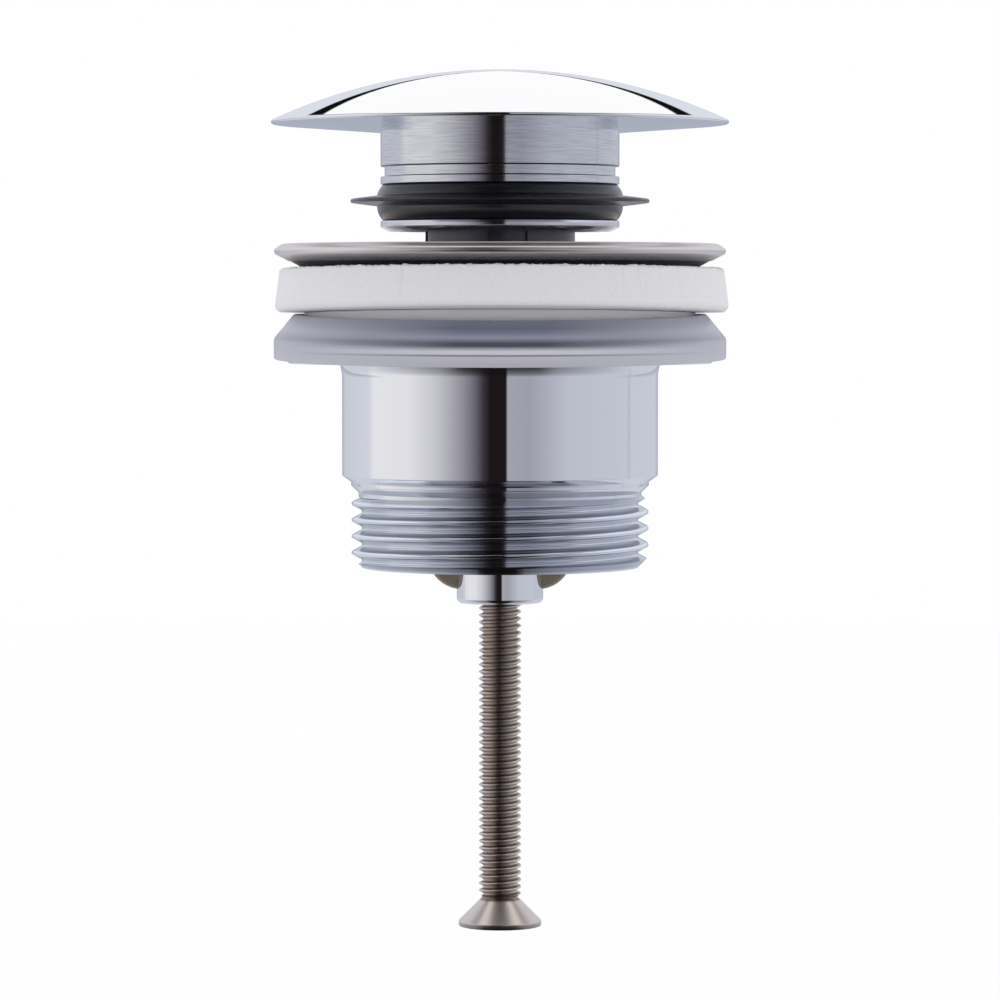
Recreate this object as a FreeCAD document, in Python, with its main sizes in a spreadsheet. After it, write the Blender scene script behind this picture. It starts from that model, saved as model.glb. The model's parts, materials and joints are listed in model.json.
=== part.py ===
import FreeCAD
import Part
import Sketcher
import math
import os
import re

# Pop up basin waste: a push plug over a flange, a soft packing stack and a threaded outlet body.
# Millimetres, +Z up, origin at the centre of the outlet's lower end.

doc = FreeCAD.newDocument("basin_waste")
sheet = doc.addObject("Spreadsheet::Sheet", "Size")

driving = {
    # outlet body
    "threadRadius": 20.955,
    "threadPitch": 2.309,
    "threadChamfer": 1.85,
    "reliefDepth": 0.95,
    "threadRelief": 2.2,
    "shoulderRadius": 21.0,
    "shoulderLand": 0.5,
    "barrelRadius": 22.25,
    "bodyHeight": 32.0,
    "barrelLength": 21.8,
    "rimClearance": 0.5,
    "bodyRimThickness": 2.9,
    "barrelFillet": 0.8,
    "outletBore": 17.4,
    "tubeFit": 0.15,
    # arms and boss in the outlet
    "armCount": 2,
    "armThickness": 3.2,
    "armTop": 4.6,
    "armDrop": 2.75,
    "armKnee": 9.8,
    "armKneeHeight": 0.2,
    "armKneeRound": 4.8,
    "armOuterHeight": 1.4,
    "bossRadius": 6.1,
    "bossDrop": 4.7,
    "bossRound": 0.7,
    "bossGap": 2.7,
    # clamp screw
    "screwRadius": 3.0,
    "screwFit": 0.08,
    "screwLength": 60.0,
    "screwHeadRadius": 5.84,
    "screwHeadEdge": 0.7,
    "screwNeck": 0.4,
    "screwReach": 1.3,
    "recessWidth": 1.3,
    "recessReach": 2.9,
    "recessDepth": 2.2,
    # packing stack
    "gasketThickness": 3.5,
    "stackRadius": 31.85,
    "gasketConeRun": 3.65,
    "gasketConeDrop": 2.7,
    "gasketWall": 1.45,
    "gasketSkirt": 5.75,
    "packingFit": 0.3,
    "slipThickness": 0.6,
    "slipWidth": 4.4,
    "foamThickness": 6.2,
    "foamTaper": 0.65,
    "foamBulge": 0.05,
    "foamRound": 1.0,
    "foamBore": 21.0,
    "washerThickness": 0.45,
    "washerInset": 0.3,
    "washerLand": 0.57,
    "ringSection": 0.95,
    # flange and its tube
    "flangeInset": 0.05,
    "flangeRise": 3.6,
    "crestInset": 1.5,
    "footInset": 2.0,
    "flangeSlope": 0.13,
    "flangeWall": 1.6,
    "dishSlope": 0.31,
    "tubeRadius": 20.1,
    "tubeWall": 1.5,
    "tubeSeat": 1.2,
    "tubeLift": 0.7,
    # strainer hub
    "strainerRim": 1.2,
    "strainerRimHeight": 3.0,
    "strainerArms": 4,
    "strainerArmWidth": 2.4,
    "hubFlange": 2.2,
    "hubSpigot": 4.2,
    "hubHole": 3.3,
    "hubDrop": 5.4,
    # click cartridge
    "cageRadius": 10.66,
    "cageGroove": 0.55,
    "cageGrooveAngle": 30.0,
    "cageTurnAngle": 6.0,
    "diagonalAngle": 45.0,
    "cageWall": 1.26,
    "cageRoof": 2.8,
    "cageProud": 2.5,
    "cageLip": 0.8,
    "keyCount": 4,
    "keyReach": 0.45,
    "keyAngle": 20.0,
    "keyPlay": 2.0,
    "runningFit": 0.1,
    "baseThickness": 1.6,
    "pivotRadius": 1.5,
    "pivotLength": 5.0,
    "stemRadius": 4.8,
    "stemRing": 0.65,
    "collarThickness": 2.0,
    "sleeveRadius": 7.4,
    "sleeveBore": 5.9,
    "closeTravel": 10.5,
    "overTravel": 1.2,
    "pinRadius": 0.7,
    "grooveDepth": 1.1,
    "grooveStepAngle": 30.0,
    "pocketStepAngle": 15.0,
    "pocketRise": 1.2,
    "drumFit": 0.3,
    "springWire": 0.5,
    "springRadius": 8.4,
    "springTurns": 9.0,
    # plug
    "capRadius": 32.2,
    "capCrown": 76.1,
    "capLift": 16.95,
    "capRimRound": 0.3,
    "capRimInset": 0.2,
    "capRimDrop": 0.17,
    "capUnderRise": 1.0,
    "capRimCurl": 0.42,
    "capRimTurn": 0.362,
    "carrierRadius": 16.8,
    "carrierLift": 1.75,
    "carrierRing": 1.45,
    "carrierChamfer": 1.1,
    "carrierChamferRise": 0.55,
    "carrierBore": 14.6,
    "carrierCeiling": 2.2,
    "carrierGrooveLift": 3.4,
    "carrierGrooveWidth": 1.4,
    "carrierGrooveDepth": 0.57,
    "sealSeat": 15.4,
    "sealCrest": 2.3,
    "sealBulge": 17.3,
    "sealEndRadius": 16.45,
    "sealLipRadius": 21.1,
    "sealLift": 6.0,
    "sealLipRoot": 0.75,
    "sealLipTip": 0.3,
    "sealLipRound": 0.306,
    "studRadius": 3.0,
    "studFit": 0.06,
    "studCover": 4.0,
    "studGap": 0.5,
    "studLength": 15.5,
    "seatFit": 0.1,
    "ringFit": 0.05,
    "threadFit": 0.05,
    "shoulderChamfer": 0.9,
    "rimRound": 0.3,
    "armRoot": 0.6,
    "screwNeckLength": 0.3,
    "screwTip": 0.6,
    "recessSlots": 2,
    "foamFit": 0.5,
    "rimInset": 0.3,
    "rimLow": 1.55,
    "rimHigh": 0.6,
    "flangeRimRound": 0.55,
    "crestRound": 3.0,
    "strainerFit": 0.4,
    "hubLand": 2.9,
    "cageRound": 0.4,
    "pinPlay": 0.05,
    "grooveCount": 4,
    "carrierCorner": 1.0,
    "sealCurve": 3.0,
    "studChamfer": 0.4,
    "cutOver": 1.0,
}
for row, (alias, number) in enumerate(driving.items(), start=1):
    sheet.set(f"A{row}", alias)
    sheet.set(f"B{row}", str(number))
    sheet.setAlias(f"B{row}", alias)
doc.recompute()

functions = {"cos", "sin", "tan", "sqrt", "deg"}


def bound(text):
    """Turns sizes named in plain words into references to the sheet."""
    return re.sub(r"[A-Za-z]\w*", lambda word: word[0] if word[0] in functions else "Size." + word[0], text)


def size(text):
    result = sheet.evalExpression(bound(text))
    return float(getattr(result, "Value", result))


# Heights and radii that several pieces share
threadLength = "(bodyHeight - barrelLength)"
shoulderHeight = f"({threadLength} + threadRelief)"
bodyRimRadius = "(stackRadius - gasketWall - rimClearance)"
gasketTop = "(bodyHeight + gasketThickness)"
slipTop = f"({gasketTop} + slipThickness)"
foamTop = f"({slipTop} + foamThickness)"
flangeHeight = f"({foamTop} + flangeRise)"
flangeRadius = "(stackRadius - flangeInset)"
flangeCrest = f"({flangeRadius} - crestInset)"
flangeFoot = f"({flangeRadius} - footInset)"
tubeBore = "(tubeRadius - tubeWall)"
tubeBottom = f"({shoulderHeight} + tubeSeat)"
boreStep = f"({tubeBottom} - tubeLift)"
sealLipHeight = f"({flangeHeight} + sealLift)"
seatHeight = f"({sealLipHeight} + sealLipTip * (1 - sqrt(2)) - closeTravel - seatFit)"
dishLow = f"({foamTop} + washerThickness)"
dishInner = f"(sealLipRadius + {dishLow} - {seatHeight} + flangeWall)"
flangeFootHeight = f"({dishLow} + ({flangeFoot} - {dishInner}) * flangeSlope)"
dishOuterHeight = f"({flangeHeight} - {flangeCrest} * dishSlope)"
dishMeet = f"(({seatHeight} - sealLipRadius - {dishOuterHeight}) / (dishSlope - 1))"
hubBottom = f"({tubeBottom} - hubDrop)"
cageBottom = f"({hubBottom} + hubFlange)"
hubTop = f"({cageBottom} + hubSpigot)"
bossTop = f"({hubBottom} - bossGap)"
cageBore = "(cageRadius - cageWall)"
cageTop = f"({flangeHeight} + cageProud)"
roofBottom = f"({cageTop} - cageRoof)"
baseTop = f"({hubTop} + baseThickness)"
collarTop = f"({roofBottom} - 2 * runningFit)"
collarBottom = f"({collarTop} - collarThickness)"
fullTravel = "(closeTravel + overTravel)"
drumTop = f"({collarBottom} - {fullTravel} - drumFit)"
pinHeight = f"({drumTop} - 2 * pinRadius)"
sleeveBottom = f"({baseTop} + {fullTravel} + drumFit)"
capRimHeight = f"({flangeHeight} + capLift)"
crownEdge = "(capRadius - capRimRound * (1 - capRimCurl))"
crownHeight = f"({capRimHeight} + capRimTurn)"
capTop = f"({crownHeight} + capCrown - sqrt(capCrown * capCrown - {crownEdge} * {crownEdge}))"
capUnder = f"({capRimHeight} - capRimRound - capUnderRise)"
carrierInside = f"({capUnder} - carrierCeiling)"
stemTop = f"({carrierInside} - runningFit)"
studTop = f"({capTop} - studCover)"
studBottom = f"({studTop} - studLength)"
carrierBottom = f"({flangeHeight} + carrierLift)"
carrierGrooveBottom = f"({sealLipHeight} + carrierGrooveLift)"
carrierGrooveTop = f"({carrierGrooveBottom} + carrierGrooveWidth)"
sealBottom = f"({carrierBottom} + carrierRing)"
sealTop = f"({sealLipHeight} + sealCrest)"
ringGroove = "(tubeRadius + 2 * ringSection + 2 * ringFit)"
ringSeat = "(bodyHeight - 2 * ringSection - 2 * ringFit)"
stemGroove = "(stemRadius + 2 * stemRing + 2 * ringFit)"
stemRingHeight = f"({cageTop} - cageRoof / 2)"
cageAngle = "(cageTurnAngle - diagonalAngle)"

pieces = []


def newBody(label):
    body = doc.addObject("PartDesign::Body", label)
    body.Label = label
    pieces.append(body)
    return body


def originFeature(body, role):
    return next(item for item in body.Origin.OriginFeatures if item.Role == role)


def arcCentre(start, end, radius, turn):
    """Centre of the shorter arc from start to end that turns left (1) or right (-1)."""
    chord = end - start
    middle = (start + end) * 0.5
    reach = math.sqrt(max(radius**2 - (chord.Length / 2) ** 2, 0))
    side = FreeCAD.Vector(-chord.y, chord.x, 0).normalize()
    return middle + side * reach * turn


def drawProfile(body, name, corners, plane="XZ_Plane", turn=0):
    """Draws a closed outline. A corner is (x, y), or (x, y, radius, side) where an arc leads to it."""
    sketch = body.newObject("Sketcher::SketchObject", name)
    sketch.AttachmentSupport = (originFeature(body, plane), [""])
    sketch.MapMode = "FlatFace"
    if turn:
        spin = FreeCAD.Rotation(FreeCAD.Vector(0, 1, 0), turn)
        sketch.AttachmentOffset = FreeCAD.Placement(FreeCAD.Vector(), spin)
    points = [FreeCAD.Vector(size(corner[0]), size(corner[1]), 0) for corner in corners]
    normal = FreeCAD.Vector(0, 0, 1)
    starts, ends, arcs = [], [], []
    for i, corner in enumerate(corners):
        before, here = points[i - 1], points[i]
        if len(corner) == 2:
            line = sketch.addGeometry(Part.LineSegment(before, here), False)
            starts.append((line, 1))
            ends.append((line, 2))
            continue
        radius, side = size(corner[2]), corner[3]
        centre = arcCentre(before, here, radius, side)
        first, last = (before, here) if side > 0 else (here, before)
        a0 = math.atan2(first.y - centre.y, first.x - centre.x)
        a1 = math.atan2(last.y - centre.y, last.x - centre.x)
        arc = sketch.addGeometry(Part.ArcOfCircle(Part.Circle(centre, normal, radius), a0, a1), False)
        starts.append((arc, 1 if side > 0 else 2))
        ends.append((arc, 2 if side > 0 else 1))
        arcs.append((arc, corner[2]))
    for i, (x, y, *_) in enumerate(corners):
        following = (i + 1) % len(corners)
        sketch.addConstraint(Sketcher.Constraint("Coincident", *ends[i], *starts[following]))
        for kind, axis, text, value in (("DistanceX", -2, x, points[i].x), ("DistanceY", -1, y, points[i].y)):
            if text == "0":
                sketch.addConstraint(Sketcher.Constraint("PointOnObject", *ends[i], axis))
                continue
            index = sketch.addConstraint(Sketcher.Constraint(kind, -1, 1, *ends[i], value))
            sketch.setExpression(f"Constraints[{index}]", bound(text))
    for arc, radius in arcs:
        index = sketch.addConstraint(Sketcher.Constraint("Radius", arc, size(radius)))
        sketch.setExpression(f"Constraints[{index}]", bound(radius))
    return sketch


def turned(body, name, corners, angle=None, cut=False, turn=0):
    """Revolves an outline about the part's axis, all round or by an angle either side of its plane."""
    sketch = drawProfile(body, name + "_outline", corners, turn=turn)
    feature = body.newObject("PartDesign::Groove" if cut else "PartDesign::Revolution", name)
    feature.Profile = sketch
    feature.ReferenceAxis = (sketch, ["V_Axis"])
    feature.Angle = 360
    if angle:
        feature.Midplane = True
        feature.setExpression("Angle", bound(angle))
    return feature


def plate(body, name, corners, thickness, turn=0):
    """Pads an upright outline to half its thickness on each side."""
    feature = body.newObject("PartDesign::Pad", name)
    feature.Profile = drawProfile(body, name + "_outline", corners, turn=turn)
    feature.Midplane = True
    feature.setExpression("Length", bound(thickness))
    return feature


def around(body, name, feature, count, angle=360):
    pattern = body.newObject("PartDesign::PolarPattern", name)
    pattern.Originals = [feature]
    pattern.Axis = (originFeature(body, "Z_Axis"), [""])
    pattern.Angle = angle
    pattern.setExpression("Occurrences", bound(count))
    body.Tip = pattern
    return pattern


def turnAbout(piece, angle):
    """Turns a finished piece about the part's axis."""
    piece.Placement = FreeCAD.Placement(FreeCAD.Vector(), FreeCAD.Rotation(FreeCAD.Vector(0, 0, 1), 1))
    piece.setExpression("Placement.Rotation.Angle", bound(angle))


def ring(label, radius, section, height):
    torus = doc.addObject("Part::Torus", label)
    torus.Label = label
    torus.setExpression("Radius1", bound(radius))
    torus.setExpression("Radius2", bound(section))
    torus.setExpression("Placement.Base.z", bound(height))
    pieces.append(torus)


def makeBody():
    """Chromed brass shell with two cast arms that carry the threaded boss below the outlet."""
    body = newBody("outlet_body")
    rimBottom = "(bodyHeight - bodyRimThickness)"
    turned(body, "shell", [
        ("outletBore", "0"),
        ("threadRadius - threadChamfer", "0"),
        ("threadRadius", "threadChamfer"),
        ("threadRadius", threadLength + " - reliefDepth"),
        ("threadRadius - reliefDepth", threadLength),
        ("shoulderRadius", shoulderHeight + " - shoulderLand"),
        ("shoulderRadius", shoulderHeight),
        ("barrelRadius", shoulderHeight + " + shoulderChamfer"),
        ("barrelRadius", rimBottom + " - barrelFillet"),
        ("barrelRadius + barrelFillet", rimBottom, "barrelFillet", -1),
        (bodyRimRadius + " - rimRound", rimBottom),
        (bodyRimRadius, rimBottom + " + rimRound", "rimRound", 1),
        (bodyRimRadius, "bodyHeight - rimRound"),
        (bodyRimRadius + " - rimRound", "bodyHeight", "rimRound", 1),
        (ringGroove, "bodyHeight"),
        (ringGroove, ringSeat),
        ("tubeRadius + tubeFit", ringSeat),
        ("tubeRadius + tubeFit", boreStep),
        ("outletBore", boreStep),
    ])
    inner = "(bossRadius - armRoot)"
    outer = "(outletBore + armRoot)"
    arm = plate(body, "arm", [
        ("-" + inner, "armTop"),
        ("-" + outer, "armTop"),
        ("-" + outer, "armOuterHeight"),
        ("-armKnee", "armKneeHeight"),
        ("-" + inner, "-armDrop", "armKneeRound", 1),
    ], "armThickness")
    around(body, "arms", arm, "armCount")
    turned(body, "boss", [
        ("screwRadius + screwFit", "-bossDrop"),
        ("bossRadius - bossRound", "-bossDrop"),
        ("bossRadius", "bossRound - bossDrop", "bossRound", 1),
        ("bossRadius", bossTop),
        ("screwRadius + screwFit", bossTop),
    ])


def makeScrew():
    """Countersunk clamp screw with a cross recess, head down."""
    body = newBody("clamp_screw")
    rootRadius = "(screwRadius - screwNeck)"
    coneTop = f"(screwHeadEdge + screwHeadRadius - {rootRadius})"
    turned(body, "blank", [
        ("0", "0"),
        ("screwHeadRadius", "0"),
        ("screwHeadRadius", "screwHeadEdge"),
        (rootRadius, coneTop),
        (rootRadius, coneTop + " + screwNeckLength"),
        ("screwRadius", coneTop + " + screwNeckLength + screwNeck"),
        ("screwRadius", "screwLength - screwTip"),
        ("screwRadius - screwTip", "screwLength"),
        ("0", "screwLength"),
    ])
    half = "(recessWidth / 2)"
    outline = drawProfile(body, "recess_outline", [
        ("-recessReach", "-" + half),
        ("recessReach", "-" + half),
        ("recessReach", half),
        ("-recessReach", half),
    ], plane="XY_Plane")
    slot = body.newObject("PartDesign::Pocket", "recess_slot")
    slot.Profile = outline
    slot.Reversed = True
    slot.setExpression("Length", bound("recessDepth"))
    around(body, "recess", slot, "recessSlots", angle=90)
    body.setExpression("Placement.Base.z", bound(f"{hubBottom} + screwReach - screwLength"))


def makePacking():
    """Cone gasket, slip washer, foam washer and flange washer, stacked on the body's rim."""
    gasketBore = "(tubeRadius + packingFit)"
    gasketHollow = "(stackRadius - gasketWall)"
    gasket = newBody("cone_gasket")
    turned(gasket, "gasket", [
        (gasketBore, "bodyHeight"),
        (gasketHollow, "bodyHeight"),
        (gasketHollow, gasketTop + " - gasketSkirt"),
        ("stackRadius", gasketTop + " - gasketSkirt"),
        ("stackRadius", gasketTop + " - gasketConeDrop"),
        ("stackRadius - gasketConeRun", gasketTop),
        (gasketBore, gasketTop),
    ])
    slip = newBody("slip_washer")
    turned(slip, "washer", [
        ("foamBore", gasketTop),
        ("foamBore + slipWidth", gasketTop),
        ("foamBore + slipWidth", slipTop),
        ("foamBore", slipTop),
    ])
    foam = newBody("foam_washer")
    cone = f"(foamBore - {dishInner} + {dishLow} - foamFit)"
    turned(foam, "washer", [
        ("foamBore", slipTop),
        ("stackRadius + foamBulge - foamRound", slipTop),
        ("stackRadius + foamBulge", slipTop + " + foamRound", "foamRound", 1),
        ("stackRadius - foamTaper", foamTop),
        (f"{dishInner} - washerThickness + foamFit", foamTop),
        ("foamBore", cone),
    ])
    washer = newBody("flange_washer")
    washerBore = f"({dishInner} + packingFit)"
    washerRadius = f"({flangeFoot} - washerInset)"
    turned(washer, "washer", [
        (washerBore, foamTop),
        (f"{washerBore} + ({washerRadius} - {washerBore}) * washerLand", foamTop),
        (washerRadius, f"{dishLow} + ({washerRadius} - {dishInner}) * flangeSlope"),
        (washerBore, f"{dishLow} + packingFit * flangeSlope"),
    ])
    ring("tube_o_ring", "tubeRadius + ringFit + ringSection", "ringSection", f"{ringSeat} + ringFit + ringSection")


def makeFlange():
    """Dished flange whose cone is the plug's seat, with the tube that enters the body."""
    body = newBody("flange")
    underCone = f"({seatHeight} - flangeWall + tubeRadius - sealLipRadius)"
    turned(body, "dish", [
        (tubeBore, tubeBottom),
        ("tubeRadius", tubeBottom),
        ("tubeRadius", underCone),
        (dishInner, dishLow),
        (flangeFoot, flangeFootHeight),
        (flangeRadius + " - rimInset", flangeHeight + " - rimLow"),
        (flangeRadius + " - rimInset", flangeHeight + " - rimHigh", "flangeRimRound", 1),
        (flangeCrest, flangeHeight, "crestRound", 1),
        (dishMeet, f"{seatHeight} + {dishMeet} - sealLipRadius"),
        (tubeBore, f"{seatHeight} + {tubeBore} - sealLipRadius"),
    ])


def makeStrainer():
    """Four-armed hub in the tube's end: the cartridge screws onto it, the clamp screw's head sits in it."""
    body = newBody("strainer_hub")
    hubRadius = f"({cageBore} - threadFit)"
    coneDepth = f"({hubRadius} - hubLand - hubHole)"
    turned(body, "hub", [
        ("hubHole", hubBottom),
        ("cageRadius + strainerFit", hubBottom),
        ("cageRadius + strainerFit", cageBottom),
        (hubRadius, cageBottom),
        (hubRadius, hubTop),
        (f"{hubRadius} - hubLand", hubTop),
        ("hubHole", f"{hubTop} - {coneDepth}"),
    ])
    rimInner = f"({tubeBore} - threadFit - strainerRim)"
    rimTop = f"({tubeBottom} + strainerRimHeight)"
    arm = plate(body, "arm", [
        ("cageRadius - strainerFit", hubBottom),
        (rimInner + " + strainerFit", tubeBottom),
        (rimInner + " + strainerFit", rimTop),
        ("cageRadius + strainerFit", rimTop),
        ("cageRadius + strainerFit", cageBottom),
        ("cageRadius - strainerFit", cageBottom),
    ], "strainerArmWidth", turn=size("diagonalAngle"))
    around(body, "arms", arm, "strainerArms")
    turned(body, "rim", [
        (rimInner, tubeBottom),
        (rimInner + " + strainerRim", tubeBottom),
        (rimInner + " + strainerRim", rimTop),
        (rimInner, rimTop),
    ])


def makeCage():
    """Black cartridge housing: four grooves outside, four keyways inside behind the panels between them."""
    cage = newBody("cartridge_cage")
    turned(cage, "housing", [
        (cageBore, cageBottom),
        ("cageRadius", cageBottom),
        ("cageRadius", cageTop + " - cageRound"),
        ("cageRadius - cageRound", cageTop, "cageRound", 1),
        ("stemRadius + runningFit", cageTop),
        ("stemRadius + runningFit", f"{stemRingHeight} + stemRing + ringFit"),
        (stemGroove, f"{stemRingHeight} + stemRing + ringFit"),
        (stemGroove, f"{stemRingHeight} - stemRing - ringFit"),
        ("stemRadius + runningFit", f"{stemRingHeight} - stemRing - ringFit"),
        ("stemRadius + runningFit", roofBottom),
        (cageBore, roofBottom),
    ])
    outside = turned(cage, "groove", [
        ("cageRadius - cageGroove", f"{cageBottom} + hubSpigot"),
        ("cageRadius + cageGroove", f"{cageBottom} + hubSpigot"),
        ("cageRadius + cageGroove", cageTop + " - cageLip"),
        ("cageRadius - cageGroove", cageTop + " - cageLip"),
    ], angle="cageGrooveAngle", cut=True, turn=size("diagonalAngle"))
    around(cage, "grooves", outside, "keyCount")
    keyway = turned(cage, "keyway", [
        (cageBore + " - keyReach", f"{collarBottom} - {fullTravel} - drumFit"),
        (cageBore + " + keyReach + runningFit", f"{collarBottom} - {fullTravel} - drumFit"),
        (cageBore + " + keyReach + runningFit", roofBottom),
        (cageBore + " - keyReach", roofBottom),
    ], angle="keyAngle + 2 * keyPlay", cut=True)
    around(cage, "keyways", keyway, "keyCount")
    turnAbout(cage, cageAngle)
    base = newBody("cage_base")
    turned(base, "plug", [
        ("0", hubTop),
        (cageBore + " - threadFit", hubTop),
        (cageBore + " - threadFit", baseTop),
        ("pivotRadius", baseTop),
        ("pivotRadius", baseTop + " + pivotLength"),
        ("0", baseTop + " + pivotLength"),
    ])
    ring("stem_o_ring", "stemRadius + ringFit + stemRing", "stemRing", stemRingHeight)


def makePlunger():
    """Plunger: stem for the stud, keyed collar over the spring, sleeve that carries the index pins."""
    body = newBody("plunger")
    turned(body, "stem", [
        ("0", collarBottom),
        ("sleeveBore", collarBottom),
        ("sleeveBore", sleeveBottom),
        ("sleeveRadius", sleeveBottom),
        ("sleeveRadius", collarBottom),
        (cageBore + " - runningFit", collarBottom),
        (cageBore + " - runningFit", collarTop),
        ("stemRadius", collarTop),
        ("stemRadius", stemTop),
        ("studRadius + studFit", stemTop),
        ("studRadius + studFit", f"{studBottom} - studGap"),
        ("0", f"{studBottom} - studGap"),
    ])
    key = turned(body, "key", [
        (cageBore + " - keyReach", collarBottom),
        (cageBore + " + keyReach", collarBottom),
        (cageBore + " + keyReach", collarTop),
        (cageBore + " - keyReach", collarTop),
    ], angle="keyAngle")
    around(body, "keys", key, "keyCount")
    hole = body.newObject("Sketcher::SketchObject", "pin_hole_outline")
    hole.AttachmentSupport = (originFeature(body, "YZ_Plane"), [""])
    hole.MapMode = "FlatFace"
    circle = hole.addGeometry(Part.Circle(FreeCAD.Vector(0, size(pinHeight), 0), FreeCAD.Vector(0, 0, 1), 1), False)
    hole.addConstraint(Sketcher.Constraint("PointOnObject", circle, 3, -2))
    lift = hole.addConstraint(Sketcher.Constraint("DistanceY", -1, 1, circle, 3, size(pinHeight)))
    hole.setExpression(f"Constraints[{lift}]", bound(pinHeight))
    reach = hole.addConstraint(Sketcher.Constraint("Radius", circle, size("pinRadius")))
    hole.setExpression(f"Constraints[{reach}]", bound("pinRadius"))
    drilled = body.newObject("PartDesign::Pocket", "pin_holes")
    drilled.Profile = hole
    drilled.Midplane = True
    drilled.setExpression("Length", bound("2 * (sleeveRadius + cutOver)"))
    turnAbout(body, cageAngle)


def makePins():
    """The two index pins pressed in the sleeve, one each side."""
    pins = []
    for side in (0, 180):
        pin = doc.addObject("Part::Cylinder", f"index_pin_{side}")
        pin.setExpression("Radius", bound("pinRadius"))
        pin.setExpression("Height", bound("sleeveRadius - sleeveBore + grooveDepth - 2 * runningFit"))
        tilt = FreeCAD.Rotation(FreeCAD.Vector(0, 1, 0), 90)
        spin = FreeCAD.Rotation(FreeCAD.Vector(0, 0, 1), side)
        pin.Placement = FreeCAD.Placement(FreeCAD.Vector(), spin.multiply(tilt))
        sign = "" if side == 0 else "-"
        pin.setExpression("Placement.Base.x", bound(f"{sign}(sleeveBore - grooveDepth + 2 * runningFit)"))
        pin.setExpression("Placement.Base.z", bound(pinHeight))
        pins.append(pin)
    both = doc.addObject("Part::Compound", "index_pins")
    both.Label = "index_pins"
    both.Links = pins
    turnAbout(both, cageAngle)
    pieces.append(both)


def makeDrum():
    """Index drum: a zigzag groove of long strokes and short pocket strokes turns it one way."""
    radius = size("sleeveBore - runningFit")
    depth = size("grooveDepth")
    bottom = size(f"{baseTop} + runningFit")
    height = size(drumTop) - bottom
    top = size(pinHeight)
    stroke = size(fullTravel)
    rise = size("pocketRise")
    half = size("pinRadius + runningFit + pinPlay")
    over = size("cutOver")
    long, short = size("grooveStepAngle"), size("pocketStepAngle")
    corners = [(0, top), (long, top - stroke), (long + short, top - stroke + rise)]
    corners += [(long + 2 * short, top - stroke), (2 * long + 2 * short, top)]
    period = corners[-1][0]
    drum = Part.makeCylinder(radius, height, FreeCAD.Vector(0, 0, bottom))
    pivot = Part.makeCylinder(
        size("pivotRadius + runningFit"),
        size("pivotLength") + size("runningFit"),
        FreeCAD.Vector(0, 0, bottom),
    )
    drum = drum.cut(pivot)

    def slab(angle, level, wide):
        """A flat outline across the groove, at one height and angle of the drum."""
        reach = [(radius - depth, -wide), (radius + over, -wide), (radius + over, wide), (radius - depth, wide)]
        spin = FreeCAD.Rotation(FreeCAD.Vector(0, 0, 1), angle)
        spots = [spin.multVec(FreeCAD.Vector(x, y, level)) for x, y in reach]
        return Part.makePolygon(spots + spots[:1])

    def hollow(angle, level):
        """A round end across the groove."""
        spin = FreeCAD.Rotation(FreeCAD.Vector(0, 0, 1), angle)
        out = spin.multVec(FreeCAD.Vector(1, 0, 0))
        start = out * (radius - depth) + FreeCAD.Vector(0, 0, level)
        return Part.makeCylinder(half, depth + over, start, out)

    cutters = []
    for turn in range(int(size("grooveCount"))):
        for (a0, z0), (a1, z1) in zip(corners, corners[1:]):
            run = math.radians(a1 - a0) * radius
            wide = half * math.hypot(run, z1 - z0) / abs(z1 - z0)
            steps = 4 if abs(a1 - a0) > short else 2
            parts = [i / steps for i in range(steps + 1)]
            slabs = [slab(turn * period + a0 + (a1 - a0) * k, z0 + (z1 - z0) * k, wide) for k in parts]
            cutters.append(Part.makeLoft(slabs, True, False))
        cutters += [hollow(turn * period + angle, level) for angle, level in corners[:-1]]
    feature = doc.addObject("Part::Feature", "index_drum")
    feature.Label = "index_drum"
    feature.Shape = drum.cut(cutters)
    feature.Placement = FreeCAD.Placement(
        FreeCAD.Vector(), FreeCAD.Rotation(FreeCAD.Vector(0, 0, 1), size(cageAngle))
    )
    pieces.append(feature)


def makeSpring():
    """Return spring between the cage base and the collar."""
    helix = doc.addObject("Part::Helix", "spring_line")
    free = f"({collarBottom} - {baseTop} - 2 * springWire)"
    helix.setExpression("Radius", bound("springRadius"))
    helix.setExpression("Height", bound(free))
    helix.setExpression("Pitch", bound(f"{free} / springTurns"))
    helix.setExpression("Placement.Base.z", bound(f"{baseTop} + springWire"))
    wire = doc.addObject("Part::Circle", "spring_wire")
    wire.setExpression("Radius", bound("springWire"))
    wire.Placement = FreeCAD.Placement(
        FreeCAD.Vector(), FreeCAD.Rotation(FreeCAD.Vector(1, 0, 0), 90)
    )
    wire.setExpression("Placement.Base.x", bound("springRadius"))
    wire.setExpression("Placement.Base.z", bound(f"{baseTop} + springWire"))
    doc.recompute()
    spring = doc.addObject("Part::Sweep", "return_spring")
    spring.Label = "return_spring"
    spring.Sections = [wire]
    spring.Spine = (helix, [f"Edge{i + 1}" for i in range(len(helix.Shape.Edges))])
    spring.Solid = True
    spring.Frenet = True
    pieces.append(spring)


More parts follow.
